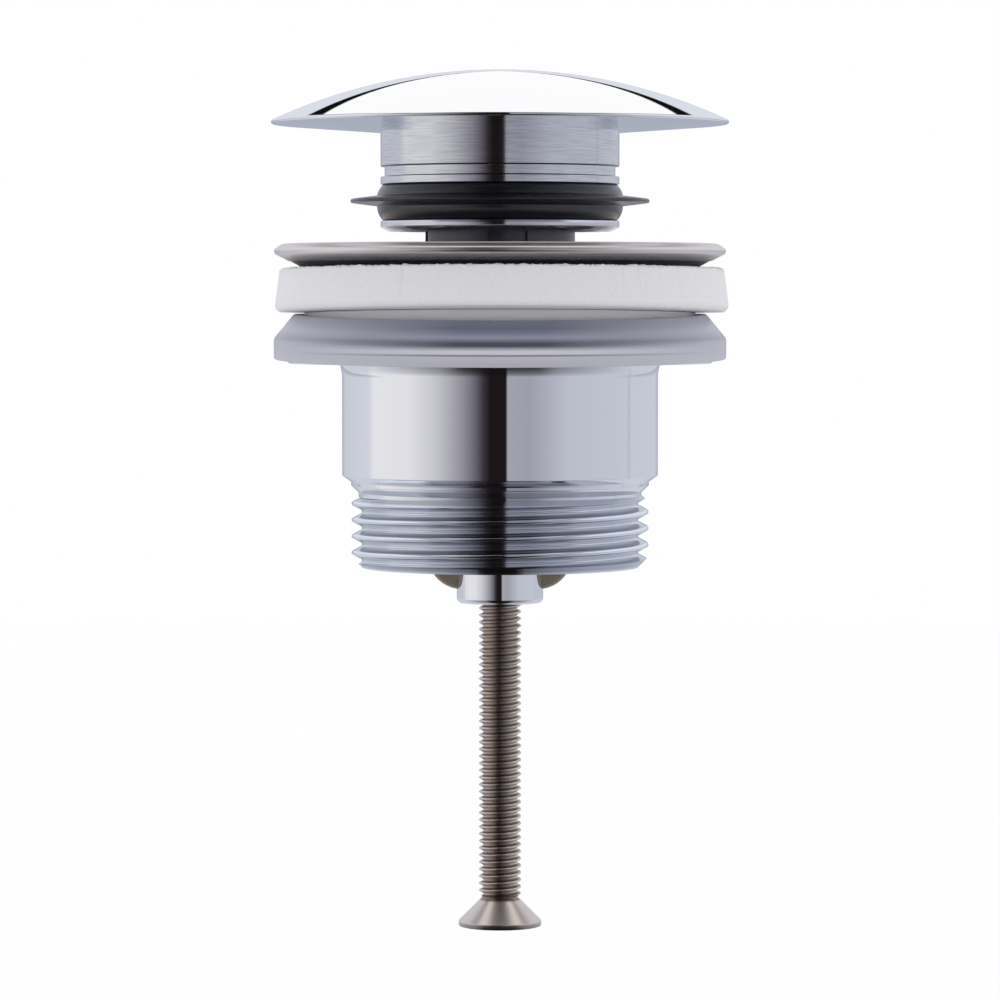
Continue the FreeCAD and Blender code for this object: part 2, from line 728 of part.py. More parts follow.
def makePlug():
    """Mushroom cap, seal carrier, rubber seal and the stud that joins them to the plunger."""
    cap = newBody("dome_cap")
    turned(cap, "dome", [
        ("studRadius + threadFit", capUnder),
        ("carrierRadius", capUnder),
        ("capRadius - capRimInset", capRimHeight + " - capRimDrop"),
        (crownEdge, crownHeight, "capRimRound", 1),
        ("0", capTop, "capCrown", 1),
        ("0", studTop + " + threadFit"),
        ("studRadius + threadFit", studTop + " + threadFit"),
    ])
    carrier = newBody("seal_carrier")
    turned(carrier, "cup", [
        ("carrierBore", carrierBottom),
        ("carrierRadius - carrierChamfer", carrierBottom),
        ("carrierRadius", carrierBottom + " + carrierChamferRise"),
        ("carrierRadius", sealBottom),
        ("sealSeat", sealBottom),
        ("sealSeat", sealTop),
        ("carrierRadius", sealTop),
        ("carrierRadius", carrierGrooveBottom),
        ("carrierRadius - carrierGrooveDepth", carrierGrooveBottom),
        ("carrierRadius - carrierGrooveDepth", carrierGrooveTop),
        ("carrierRadius", carrierGrooveTop),
        ("carrierRadius", capUnder),
        ("studRadius + threadFit", capUnder),
        ("studRadius + threadFit", carrierInside),
        ("carrierBore - carrierCorner", carrierInside),
        ("carrierBore", carrierInside + " - carrierCorner", "carrierCorner", -1),
    ])
    seal = newBody("plug_seal")
    turned(seal, "seal", [
        ("sealSeat + ringFit", sealBottom),
        ("sealEndRadius", sealBottom),
        ("sealBulge", sealLipHeight + " - sealLipRoot", "sealCurve", 1),
        ("sealLipRadius - sealLipTip", sealLipHeight + " - sealLipTip"),
        ("sealLipRadius - sealLipTip", sealLipHeight + " + sealLipTip", "sealLipRound", 1),
        ("sealBulge", sealLipHeight + " + sealLipRoot"),
        ("sealEndRadius", sealTop, "sealCurve", 1),
        ("sealSeat + ringFit", sealTop),
    ])
    stud = newBody("cap_stud")
    turned(stud, "stud", [
        ("0", studBottom),
        ("studRadius - studChamfer", studBottom),
        ("studRadius", studBottom + " + studChamfer"),
        ("studRadius", studTop + " - studChamfer"),
        ("studRadius - studChamfer", studTop),
        ("0", studTop),
    ])


makeBody()
makeScrew()
makePacking()
makeFlange()
makeStrainer()
makeCage()
makePlunger()
makePins()
makeDrum()
makeSpring()
makePlug()
doc.recompute()

faults = [item.Label for item in doc.Objects if {"Invalid", "Error"} & set(item.State)]
for piece in pieces:
    if piece.Shape.isNull() or not piece.Shape.isValid() or not piece.Shape.Solids:
        faults.append(piece.Label + " has no sound solid")
if faults:
    raise SystemExit("not built: " + ", ".join(faults))

os.makedirs("parts", exist_ok=True)
for piece in pieces:
    piece.Shape.exportStep(f"parts/{piece.Label}.step")
    print(piece.Label, len(piece.Shape.Solids), "solid", round(piece.Shape.Volume, 1), "mm3")
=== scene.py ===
import json
import math

import bpy
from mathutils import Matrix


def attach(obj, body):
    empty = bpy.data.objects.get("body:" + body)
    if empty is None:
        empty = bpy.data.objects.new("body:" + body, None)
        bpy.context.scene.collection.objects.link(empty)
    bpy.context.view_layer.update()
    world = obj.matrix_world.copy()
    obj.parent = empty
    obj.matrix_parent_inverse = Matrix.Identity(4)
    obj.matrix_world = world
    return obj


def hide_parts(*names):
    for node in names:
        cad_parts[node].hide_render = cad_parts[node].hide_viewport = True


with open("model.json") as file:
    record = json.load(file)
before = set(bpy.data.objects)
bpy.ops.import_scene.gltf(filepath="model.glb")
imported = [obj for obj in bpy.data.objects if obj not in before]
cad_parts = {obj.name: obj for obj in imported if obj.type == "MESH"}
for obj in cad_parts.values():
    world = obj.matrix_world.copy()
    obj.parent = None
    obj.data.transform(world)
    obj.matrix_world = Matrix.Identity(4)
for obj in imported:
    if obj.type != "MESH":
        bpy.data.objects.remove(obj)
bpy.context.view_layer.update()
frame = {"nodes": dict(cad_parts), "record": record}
mm = 0.001
degree = math.radians(1)
softAngle = 30               # degrees: shading runs on smoothly over flatter edges
white = (1.0, 1.0, 1.0, 1.0)


# Nodes and materials

def hexColour(text):
    # sRGB hex to the linear colour that a shader socket takes
    parts = [int(text[i:i + 2], 16) / 255 for i in (0, 2, 4)]
    linear = [c / 12.92 if c <= 0.04045 else ((c + 0.055) / 1.055) ** 2.4 for c in parts]
    return (*linear, 1.0)


def addNode(tree, kind, settings=None, **links):
    # one node: plain values go on its sockets, (node, output) pairs are linked
    node = tree.nodes.new(kind)
    for name, value in (settings or {}).items():
        setattr(node, name, value)
    for name, value in links.items():
        socket = node.inputs[int(name[1:])] if name[0] == "_" else node.inputs[name]
        if isinstance(value, tuple) and isinstance(value[0], bpy.types.Node):
            tree.links.new(value[0].outputs[value[1]], socket)
        else:
            socket.default_value = value
    return node


def mathNode(tree, operation, first, second=0.0):
    return addNode(tree, "ShaderNodeMath", {"operation": operation}, _0=first, _1=second), 0


def rangeNode(tree, value, low, high, start=0.0, end=1.0):
    # goes from start to end while the value goes from low to high
    return addNode(tree, "ShaderNodeMapRange", _0=value, _1=low, _2=high, _3=start, _4=end), 0


def mixNode(tree, share, first, second, blend="MIX"):
    settings = {"data_type": "RGBA", "blend_type": blend}
    return addNode(tree, "ShaderNodeMix", settings, _0=share, _6=first, _7=second), 2


def rampNode(tree, share, stops, low=0.0, high=1.0):
    # stops are (value, hex colour) between low and high
    ramp = addNode(tree, "ShaderNodeValToRGB", _0=share)
    elements = ramp.color_ramp.elements
    while len(elements) < len(stops):
        elements.new(0.5)
    for element, (value, shade) in zip(elements, stops):
        element.position = (value - low) / (high - low)
        element.color = hexColour(shade)
    return ramp, 0


def shadeAlong(tree, value, stops, unit=1.0):
    # colours by a value; unit turns the stops' own values into the socket's
    low, high = stops[0][0], stops[-1][0]
    return rampNode(tree, rangeNode(tree, value, low * unit, high * unit), stops, low, high)


def placeNode(tree, kind="Object"):
    # the place being shaded
    return addNode(tree, "ShaderNodeTexCoord"), kind


def splitNode(tree, kind="Object"):
    # the same, split into X, Y and Z
    return addNode(tree, "ShaderNodeSeparateXYZ", _0=placeNode(tree, kind))


def headingNode(tree, split):
    # 0 to the front of the part, positive to its right
    return mathNode(tree, "ARCTAN2", (split, "X"), mathNode(tree, "MULTIPLY", (split, "Y"), -1.0))


def newMaterial(name, values):
    material = bpy.data.materials.new(name)
    material.use_nodes = True
    tree = material.node_tree
    shader = next(node for node in tree.nodes if node.type == "BSDF_PRINCIPLED")
    for socket, value in values.items():
        shader.inputs[socket].default_value = hexColour(value) if isinstance(value, str) else value
    return material, tree, shader


def feed(shader, socket, source):
    # links a (node, output) pair to the shader
    node, output = source
    shader.id_data.links.new(node.outputs[output], shader.inputs[socket])


# Camera, floor and light

view = {
    "eye": (0.0, -650 * mm, 38.6 * mm),
    "pitchDown": 2.538,      # degrees
    "lens": 166.0,
    "sensor": 36,
    "clipStart": 0.05,
}


def placeCamera():
    data = bpy.data.cameras.new("camera")
    camera = bpy.data.objects.new("camera", data)
    bpy.context.scene.collection.objects.link(camera)
    data.lens = view["lens"]
    data.sensor_width = view["sensor"]
    data.clip_start = view["clipStart"]
    camera.location = view["eye"]
    camera.rotation_euler = (math.radians(90 - view["pitchDown"]), 0, 0)
    bpy.context.scene.camera = camera


placeCamera()
bpy.context.scene.view_settings.view_transform = "Standard"
print("camera placed")


studio = {
    # what lights the matt pieces: less from the front (-1) than from behind the part (1)
    "soft": [(-1, "c2c2c8"), (-0.3, "f4f4f8"), (0.1, "ffffff"), (1, "ffffff")],
    # at the level of the part, as metal mirrors it: heading in degrees and shade
    "sides": [
        (-180, "aab0be"), (-168, "aab0be"), (-155, "c8ccd6"), (-112, "d0d3db"), (-104, "e6e6e9"),
        (-70, "e2e2e6"), (-48, "c8c8ce"), (-26, "8e8d96"), (-12, "38343a"), (-7, "1c1718"),
        (4.4, "1c1718"), (5.2, "a4a5ad"), (21, "9fa0ac"), (50, "bcc0ca"), (106, "c4c8d3"),
        (108, "b4b8c4"), (110, "c6cad4"), (155, "c8ccd6"), (168, "aab0be"), (180, "aab0be"),
    ],
    # above and below the level of the part, as metal mirrors it: heading in degrees and shade
    "outskirts": [
        (-180, "cbd0da"), (-110, "c8ced8"), (-80, "9aa0ac"), (-45, "8e939e"), (-28, "6c6c74"),
        (-18, "333236"), (-9, "1c1718"), (4.4, "1c1718"), (5, "7c7f8a"), (35, "82858f"),
        (80, "8a8f9b"), (110, "c0c5d0"), (180, "cbd0da"),
    ],
    # the white panel overhead, its dark edge and the wall beside it; 1 is where the panel ends
    "panel": [
        (0.0, "ffffff"), (0.96, "ffffff"), (1.0, "0e0d0f"), (1.27, "0e0d0f"), (1.34, "dbdfe9"),
        (2.0, "dbdfe9"),
    ],
    "panelSlope": 0.69,      # how far the panel's sides lean outwards
    "panelStart": 0.147,     # and how far above the horizon it begins behind the part
    "panelTip": 0.00002,     # its narrowest half width, for the division
    "front": (-0.3, -0.5),   # between these the panel gives way in front of the part
    "level": (0.05, 0.12),   # heights between which the sides give way to the panel
    "low": "a8aebb",         # behind the part and below its level
    "lowBehind": (0.0, 0.5),
    "lowUnder": (-0.04, -0.12),
}


def makeStudio():
    # plain pale surroundings: a ring of soft greys with a dark slit in front, and a white panel overhead
    world = bpy.data.worlds.new("studio")
    bpy.context.scene.world = world
    world.use_nodes = True
    tree = world.node_tree
    tree.nodes.clear()
    split = splitNode(tree, "Generated")
    heading = headingNode(tree, split)
    sides = shadeAlong(tree, heading, studio["sides"], degree)
    outskirts = shadeAlong(tree, heading, studio["outskirts"], degree)
    start = mathNode(tree, "MULTIPLY", mathNode(tree, "MAXIMUM", (split, "Y"), 0.0), studio["panelStart"])
    lean = mathNode(tree, "MULTIPLY", (split, "Z"), studio["panelSlope"])
    edge = mathNode(tree, "MAXIMUM", mathNode(tree, "SUBTRACT", lean, start), studio["panelTip"])
    panel = shadeAlong(
        tree, mathNode(tree, "DIVIDE", mathNode(tree, "ABSOLUTE", (split, "X")), edge), studio["panel"],
    )
    above = mixNode(tree, rangeNode(tree, (split, "Y"), *studio["front"]), panel, outskirts)
    upper = mixNode(tree, rangeNode(tree, (split, "Z"), *studio["level"]), sides, above)
    behind = rangeNode(tree, (split, "Y"), *studio["lowBehind"])
    under = rangeNode(tree, (split, "Z"), *studio["lowUnder"])
    mirrored = mixNode(tree, mathNode(tree, "MULTIPLY", behind, under), upper, hexColour(studio["low"]))
    soft = shadeAlong(tree, (split, "Y"), studio["soft"])
    # metal mirrors the shades, matt pieces take the soft light, and what is seen directly is white
    seen = addNode(tree, "ShaderNodeLightPath")
    light = mixNode(tree, (seen, "Is Diffuse Ray"), mirrored, soft)
    plain = mathNode(tree, "MAXIMUM", (seen, "Is Camera Ray"), (seen, "Is Transmission Ray"))
    background = addNode(tree, "ShaderNodeBackground", Color=mixNode(tree, plain, light, white), Strength=1.0)
    addNode(tree, "ShaderNodeOutputWorld", Surface=(background, 0))


paper = {
    "level": -50.6 * mm,
    "reach": 0.62,
    "sides": 96,
    "washed": 0.985,         # how far the light washes out what is seen directly
    # as metal mirrors it close to the part: heading in degrees and shade
    "shades": [
        (-180, "cdd2dc"), (-110, "c4c9d4"), (-70, "9a9ba5"), (-42, "76767e"), (-30, "2c292c"),
        (-25, "161314"), (25, "161314"), (30, "2c292c"), (42, "76767e"), (70, "9a9ba5"),
        (110, "c4c9d4"), (180, "cdd2dc"),
    ],
    "near": 0.10,            # metres from the part where these shades begin to give way
    "far": 0.42,             # and where the floor is as light as the studio beside it
}


def makeFloor():
    bpy.ops.object.select_all(action="DESELECT")
    bpy.ops.mesh.primitive_circle_add(
        vertices=paper["sides"], radius=paper["reach"], fill_type="NGON", location=(0, 0, paper["level"]),
    )
    floor = bpy.context.object
    floor.name = "floor"
    bpy.ops.object.transform_apply(location=True, rotation=True, scale=True)
    material, tree, shader = newMaterial("matt white paper", {
        "Base Color": "f2f2f2", "Roughness": 1.0, "Specular IOR Level": 0.0,
    })
    seen = addNode(tree, "ShaderNodeLightPath")
    direct = mathNode(tree, "MULTIPLY", (seen, "Is Camera Ray"), paper["washed"])
    plain = mathNode(tree, "MAXIMUM", direct, (seen, "Is Glossy Ray"))
    share = mathNode(tree, "MAXIMUM", plain, (seen, "Is Transmission Ray"))
    heading = headingNode(tree, splitNode(tree))
    close = shadeAlong(tree, heading, paper["shades"], degree)
    distant = shadeAlong(tree, heading, studio["sides"], degree)
    reach = addNode(tree, "ShaderNodeVectorMath", {"operation": "LENGTH"}, _0=placeNode(tree))
    away = rangeNode(tree, (reach, "Value"), paper["near"], paper["far"])
    shade = mixNode(tree, (seen, "Is Glossy Ray"), white, mixNode(tree, away, close, distant))
    glow = addNode(tree, "ShaderNodeEmission", Color=shade, Strength=1.0)
    mix = addNode(tree, "ShaderNodeMixShader", _0=share, _1=(shader, 0), _2=(glow, 0))
    output = next(node for node in tree.nodes if node.type == "OUTPUT_MATERIAL")
    tree.links.new(mix.outputs[0], output.inputs["Surface"])
    floor.data.materials.append(material)


makeStudio()
makeFloor()
print("studio made")


# Drawing and turning

def arcPoints(start, end, radius, side, count=8):
    # points from start to end on the shorter arc that turns left (1) or right (-1)
    (x0, y0), (x1, y1) = start, end
    chord = math.hypot(x1 - x0, y1 - y0)
    reach = math.sqrt(max(radius**2 - chord**2 / 4, 0)) * side
    cx = (x0 + x1) / 2 - (y1 - y0) / chord * reach
    cy = (y0 + y1) / 2 + (x1 - x0) / chord * reach
    first = math.atan2(y0 - cy, x0 - cx)
    sweep = 2 * math.asin(min(chord / 2 / radius, 1)) * side
    turns = [first + sweep * i / count for i in range(1, count)]
    return [(cx + radius * math.cos(a), cy + radius * math.sin(a)) for a in turns] + [end]


def outlinePoints(corners):
    # corners are (radius, height) in mm, with (arc radius, side, count) added where an arc leads there
    points = [corners[0][:2]]
    for corner in corners[1:]:
        if len(corner) > 2:
            points += arcPoints(points[-1], corner[:2], *corner[2:])
        else:
            points.append(corner)
    return points


def cleanSurface(distance=0.002):
    # merges doubles nearer than a distance in mm and turns every face outwards, in edit mode
    bpy.ops.mesh.select_all(action="SELECT")
    bpy.ops.mesh.remove_doubles(threshold=distance * mm)
    bpy.ops.mesh.normals_make_consistent(inside=False)


def drawOutline(name, points):
    # a single vertex pulled along the outline
    bpy.ops.object.select_all(action="DESELECT")
    bpy.ops.mesh.primitive_plane_add(size=mm)
    piece = bpy.context.object
    piece.name = name
    bpy.ops.object.mode_set(mode="EDIT")
    bpy.ops.mesh.merge(type="CENTER")
    bpy.ops.transform.translate(value=(points[0][0] * mm, 0, points[0][1] * mm))
    for (x0, z0), (x1, z1) in zip(points, points[1:]):
        step = ((x1 - x0) * mm, 0, (z1 - z0) * mm)
        bpy.ops.mesh.extrude_region_move(TRANSFORM_OT_translate={"value": step})
    return piece


def turnPiece(name, corners, steps=160, round=0.0):
    # turns a closed outline about the object's axis, as on a lathe
    points = outlinePoints(corners)
    if points[0] != points[-1]:
        points.append(points[0])
    piece = drawOutline(name, points)
    bpy.ops.mesh.select_all(action="SELECT")
    bpy.ops.mesh.spin(steps=steps, angle=math.tau, center=(0, 0, 0), axis=(0, 0, 1))
    cleanSurface()
    bpy.ops.object.mode_set(mode="OBJECT")
    if round:
        bevelEdges(piece, round)
    bpy.ops.object.shade_smooth_by_angle(angle=softAngle * degree)
    return piece


def bevelEdges(piece, width, angle=32, segments=3):
    # rounds the edges sharper than an angle, width in mm
    bevel = piece.modifiers.new("edges", "BEVEL")
    bevel.width = width * mm
    bevel.segments = segments
    bevel.limit_method = "ANGLE"
    bevel.angle_limit = angle * degree
    bevel.harden_normals = False
    applyAll(piece)


def applyAll(piece):
    bpy.ops.object.select_all(action="DESELECT")
    piece.select_set(True)
    bpy.context.view_layer.objects.active = piece
    for modifier in list(piece.modifiers):
        bpy.ops.object.modifier_apply(modifier=modifier.name)


def combine(piece, tool, operation):
    # boolean of two closed pieces; the tool is used up
    cut = piece.modifiers.new("combine", "BOOLEAN")
    cut.operation = operation
    cut.solver = "EXACT"
    cut.object = tool
    applyAll(piece)
    bpy.data.objects.remove(tool)


def finish(piece, material, body, slot, *nodes, smooth=softAngle):
    # shades a piece, hangs it on the body it rides on and hides the nodes it stands for
    bpy.ops.object.select_all(action="DESELECT")
    piece.select_set(True)
    bpy.context.view_layer.objects.active = piece
    bpy.ops.object.shade_smooth_by_angle(angle=smooth * degree)
    weigh = piece.modifiers.new("large faces stay flat", "WEIGHTED_NORMAL")
    weigh.keep_sharp = True
    applyAll(piece)
    piece.data.validate()
    piece.data.materials.clear()
    piece.data.materials.append(material)
    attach(piece, body)
    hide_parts(*nodes)


def threadedRod(name, crest, root, pitch, low, high, lead=0.0, steps=72, count=16):
    # one pitch of a thread with rounded crests and roots, wound up the axis and cut off square at both ends
    middle, half = (crest + root) / 2, (crest - root) / 2
    start = low - 2 * pitch + lead
    # climb runs from -1.5 in a root to 1.5 on the crest and back, and the flanks are straight up to 0.8
    peak, straight = 1.5, 0.8
    points = []
    for i in range(count + 1):
        climb = peak - 4 * peak * abs(i / count - 0.5)
        size = abs(climb)
        if size > straight:
            size = straight + (1 - straight) * math.sin((size - straight) / (peak - straight) * math.pi / 2)
        points.append((middle - math.copysign(size, climb) * half, start + pitch * i / count))
    rod = drawOutline(name, points)
    bpy.ops.object.mode_set(mode="OBJECT")
    winding = rod.modifiers.new("winding", "SCREW")
    winding.axis = "Z"
    winding.angle = math.tau
    winding.screw_offset = pitch * mm
    winding.iterations = math.ceil((high - low) / pitch) + 4
    winding.steps = steps
    winding.render_steps = steps
    winding.use_merge_vertices = True
    winding.merge_threshold = 0.002 * mm
    applyAll(rod)
    bpy.ops.object.mode_set(mode="EDIT")
    cleanSurface()
    for level, up in ((low, -1), (high, 1)):
        bpy.ops.mesh.select_all(action="SELECT")
        bpy.ops.mesh.bisect(
            plane_co=(0, 0, level * mm), plane_no=(0, 0, up), use_fill=True, clear_outer=True,
        )
    cleanSurface()
    bpy.ops.object.mode_set(mode="OBJECT")
    return rod


# Finishes

def turnedLines(tree, shader, spacing, depth, stretch=0.02):
    # rings left by the lathe: noise squeezed along the axis, spacing and depth in mm
    along = 1 / (spacing * mm)
    across = stretch * along
    squeeze = addNode(tree, "ShaderNodeMapping", Vector=placeNode(tree), Scale=(across, across, along))
    rings = addNode(tree, "ShaderNodeTexNoise", Vector=(squeeze, 0), Scale=1.0, Detail=3.0, Roughness=0.6)
    bump = addNode(tree, "ShaderNodeBump", Strength=1.0, Distance=depth * mm, Height=(rings, 0))
    feed(shader, "Normal", (bump, 0))
    return rings, 0


def shadeByRadius(tree, shader, stops):
    # colours a piece by its distance from the axis in mm
    split = splitNode(tree)
    level = addNode(tree, "ShaderNodeCombineXYZ", _0=(split, "X"), _1=(split, "Y"))
    out = addNode(tree, "ShaderNodeVectorMath", {"operation": "LENGTH"}, _0=(level, 0))
    feed(shader, "Base Color", shadeAlong(tree, (out, "Value"), stops, mm))


def polishedChrome():
    # bright chrome plate on polished brass: a near mirror with the faintest waviness
    material, tree, shader = newMaterial("polished chrome plate", {
        "Base Color": "fbfbfd", "Metallic": 1.0, "Roughness": 0.03,
    })
    turnedLines(tree, shader, spacing=4.0, depth=0.0002)
    return material


def turnedChrome():
    # chrome over a face left as turned: fine rings break the highlights, and painted shade darkens the
    # groove's edges
    material, tree, shader = newMaterial("turned chrome plate", {"Metallic": 1.0, "Roughness": 0.1})
    rings = turnedLines(tree, shader, spacing=0.14, depth=0.0006, stretch=0.03)
    brushed = rampNode(tree, rings, [(0.35, "d2d2d7"), (0.5, "e0e0e4"), (0.65, "ececf0")])
    split = splitNode(tree)
    # painted shade: dark lines at the groove's top and bottom edges, where shade falls
    paintedGrooveShade = shadeAlong(tree, (split, "Z"), [
        (54, "ffffff"), (55.2, "ffffff"), (55.26, "303034"), (55.34, "303034"), (55.4, "ffffff"),
        (56.62, "ffffff"), (56.68, "202024"), (56.78, "202024"), (56.84, "ffffff"), (57, "ffffff"),
    ], mm)
    feed(shader, "Base Color", mixNode(tree, 1.0, brushed, paintedGrooveShade, "MULTIPLY"))
    return material


def cutChrome():
    # chrome over the cut thread, coloured by radius: painted highlights on the crests and in the roots,
    # painted shade on the flanks
    material, tree, shader = newMaterial("chrome plate on a cut thread", {"Metallic": 1.0, "Roughness": 0.1})
    shadeByRadius(tree, shader, [
        (19.4, "eceef3"), (19.62, "eceef3"), (19.85, "bcc0ca"), (20.55, "bcc0ca"), (20.8, "fcfcfe"),
    ])
    return material


def satinStainless():
    # pressed stainless, turned to a satin: warm grey with soft reflections
    material, tree, shader = newMaterial("satin turned stainless steel", {
        "Base Color": "f4ece8", "Roughness": 0.33,
    })
    # a painted highlight line: a band at the rim's upper edge is made less metallic so the soft light shows
    # on it
    split = splitNode(tree)
    feed(shader, "Metallic", rangeNode(tree, (split, "Z"), 45.62 * mm, 45.8 * mm, 1.0, 0.35))
    turnedLines(tree, shader, spacing=0.25, depth=0.0008)
    return material


def screwSteel():
    # rolled stainless, slightly oily: brownish grey
    material, tree, shader = newMaterial("rolled stainless screw steel", {"Metallic": 1.0, "Roughness": 0.3})
    # painted shade on the thread's flanks, and painted highlights on its crests and roots
    shadeByRadius(tree, shader, [(2.38, "f4e7dc"), (2.52, "b8a99e"), (2.78, "9a8c82"), (2.95, "e6dad2")])
    turnedLines(tree, shader, spacing=0.5, depth=0.001, stretch=0.3)
    return material


def blackRubber():
    # moulded nitrile rubber: near black with a soft sheen
    material, tree, shader = newMaterial("moulded black rubber", {
        "Base Color": "191b24", "Roughness": 0.24, "Specular IOR Level": 0.9,
    })
    turnedLines(tree, shader, spacing=1.5, depth=0.004, stretch=0.6)
    return material


def blackPlastic():
    # moulded acetal housing: bluish black, semi gloss
    material, tree, shader = newMaterial("moulded black acetal", {
        "Base Color": "464756", "Roughness": 0.25, "Specular IOR Level": 0.95,
    })
    turnedLines(tree, shader, spacing=2.0, depth=0.005, stretch=0.5)
    return material


def whiteFoam():
    # closed cell polyethylene foam, cut from sheet: fine cells of about 0.2 mm in a soft white
    material, tree, shader = newMaterial("cut white polyethylene foam", {
        "Roughness": 0.8, "Subsurface Weight": 0.35, "Subsurface Radius": (1.0, 1.0, 1.0),
        "Subsurface Scale": 1.5 * mm,
    })
    cells = addNode(
        tree, "ShaderNodeTexVoronoi", {"feature": "F1"}, Vector=placeNode(tree), Scale=1 / (0.2 * mm),
    )
    feed(shader, "Base Color", rampNode(tree, (cells, "Distance"), [(0.0, "f8f8f9"), (0.8, "f0f0f1")]))
    bump = addNode(tree, "ShaderNodeBump", Strength=0.8, Distance=0.03 * mm, Height=(cells, "Distance"))
    feed(shader, "Normal", (bump, 0))
    return material


def slipFibre():
    # punched fibre washer: matt white, letting some light through
    material, tree, shader = newMaterial("punched fibre", {
        "Base Color": "f8f8f8", "Roughness": 0.6, "Subsurface Weight": 0.6,
        "Subsurface Radius": (1.0, 1.0, 1.0), "Subsurface Scale": 3.0 * mm,
    })
    turnedLines(tree, shader, spacing=0.6, depth=0.01, stretch=1.0)
    return material


def smokyGasket():
    # translucent moulded silicone in smoky violet grey, with painted light: paler round the foot as a painted
    # stand-in for the chrome rim showing through, painted shade bands, and the sides painted lighter than the
    # front
    material, tree, shader = newMaterial("moulded smoky silicone", {
        "Roughness": 0.3, "IOR": 1.41, "Transmission Weight": 0.2, "Subsurface Weight": 0.4,
        "Subsurface Radius": (1.0, 1.0, 1.0), "Subsurface Scale": 1.5 * mm,
    })
    split = splitNode(tree)
    # the painted bands sit a little lower in front
    sag = mathNode(tree, "MULTIPLY", (split, "Y"), -0.015)
    climb = mathNode(tree, "ADD", (split, "Z"), sag)
    # in front, by height: the painted rim with a dark line across it, then darker above, partly its own smoky
    # tone and partly painted shade under the slip washer
    front = shadeAlong(tree, climb, [
        (29.5, "cfcfd9"), (30.8, "e4e3ec"), (31.0, "848496"), (31.2, "f4f3fa"), (31.6, "f4f3fa"),
        (32.3, "4e536a"), (32.7, "565b70"), (33.4, "b0b3c3"), (34.0, "9498aa"), (34.6, "82869a"),
        (35.2, "9093a2"), (36.5, "a4a6b2"),
    ], mm)
    side = shadeAlong(tree, climb, [
        (29.5, "dcdce5"), (32.2, "d2d2dc"), (32.8, "b4b3c1"), (34.0, "d6d5e2"), (35.2, "ceccda"),
        (36.5, "d4d2de"),
    ], mm)
    # painted light: the front is painted darker and the sides lighter, as the light falls from the sides and
    # behind
    outward = rangeNode(tree, mathNode(tree, "ABSOLUTE", (split, "X")), 6 * mm, 29 * mm)
    feed(shader, "Base Color", mixNode(tree, outward, front, side))
    return material


def naturalAcetal():
    # moulded acetal left in its own colour: milky white, faintly glossy
    material, tree, shader = newMaterial("moulded natural acetal", {"Base Color": "e6e5df", "Roughness": 0.4})
    turnedLines(tree, shader, spacing=2.0, depth=0.005, stretch=0.5)
    return material


def castBrass():
    # brass left as cast, with little plate inside the outlet: dull brownish grey
    material, tree, shader = newMaterial("cast brass, thinly plated", {
        "Base Color": "b3a698", "Metallic": 0.5, "Roughness": 0.5,
    })
    turnedLines(tree, shader, spacing=0.8, depth=0.03, stretch=1.0)
    return material


finishes = {
    "polished_chrome": polishedChrome(),
    "cut_chrome": cutChrome(),
    "turned_chrome": turnedChrome(),
    "satin_stainless": satinStainless(),
    "screw_steel": screwSteel(),
    "spring_steel": screwSteel(),
    "brass": castBrass(),
    "black_rubber": blackRubber(),
    "black_plastic": blackPlastic(),
    "acetal": naturalAcetal(),
    "white_foam": whiteFoam(),
    "slip_fibre": slipFibre(),
    "smoky_gasket": smokyGasket(),
}
print("finishes made")

slots = {part["node"]: part["material_slot"] for part in frame["record"]["subparts"]}
for name, node in frame["nodes"].items():
    node.data.materials.clear()
    node.data.materials.append(finishes[slots[name]])


# The plug: cap, carrier and seal

cap = {
    "radius": 32.2, "rimHeight": 62.849, "rimRound": 0.3, "rimLead": 0.174, "rimInset": 0.2, "rimDrop": 0.17,
    "rimTurn": 0.362, "crown": 76.1, "under": 61.55, "joint": 16.8, "socket": 3.05, "socketTop": 66.33,
}


def makeCap():
    edge = cap["radius"] - cap["rimLead"]
    shoulder = cap["rimHeight"] + cap["rimTurn"]
    top = shoulder + cap["crown"] - math.sqrt(cap["crown"] ** 2 - edge**2)
    piece = turnPiece("domeCap", [
        (cap["socket"], cap["under"]),
        (cap["joint"], cap["under"]),
        (cap["radius"] - cap["rimInset"], cap["rimHeight"] - cap["rimDrop"]),
        (edge, shoulder, cap["rimRound"], 1, 10),
        (0.0, top, cap["crown"], 1, 40),
        (0.0, cap["socketTop"]),
        (cap["socket"], cap["socketTop"]),
    ], steps=256)
    finish(piece, finishes["polished_chrome"], "plug", "polished_chrome", "dome_cap")


carrier = {
    "radius": 16.8, "bottom": 47.65, "ring": 1.45, "chamfer": 1.1, "chamferRise": 0.55, "bore": 14.6,
    "under": 61.55, "ceiling": 59.35, "grooveTop": 56.7, "grooveBottom": 55.3, "grooveDepth": 0.57,
    "seat": 15.4, "sealTop": 54.2, "hole": 3.05, "cupRound": 1.0, "round": 0.12, "sunk": 0.15,
}


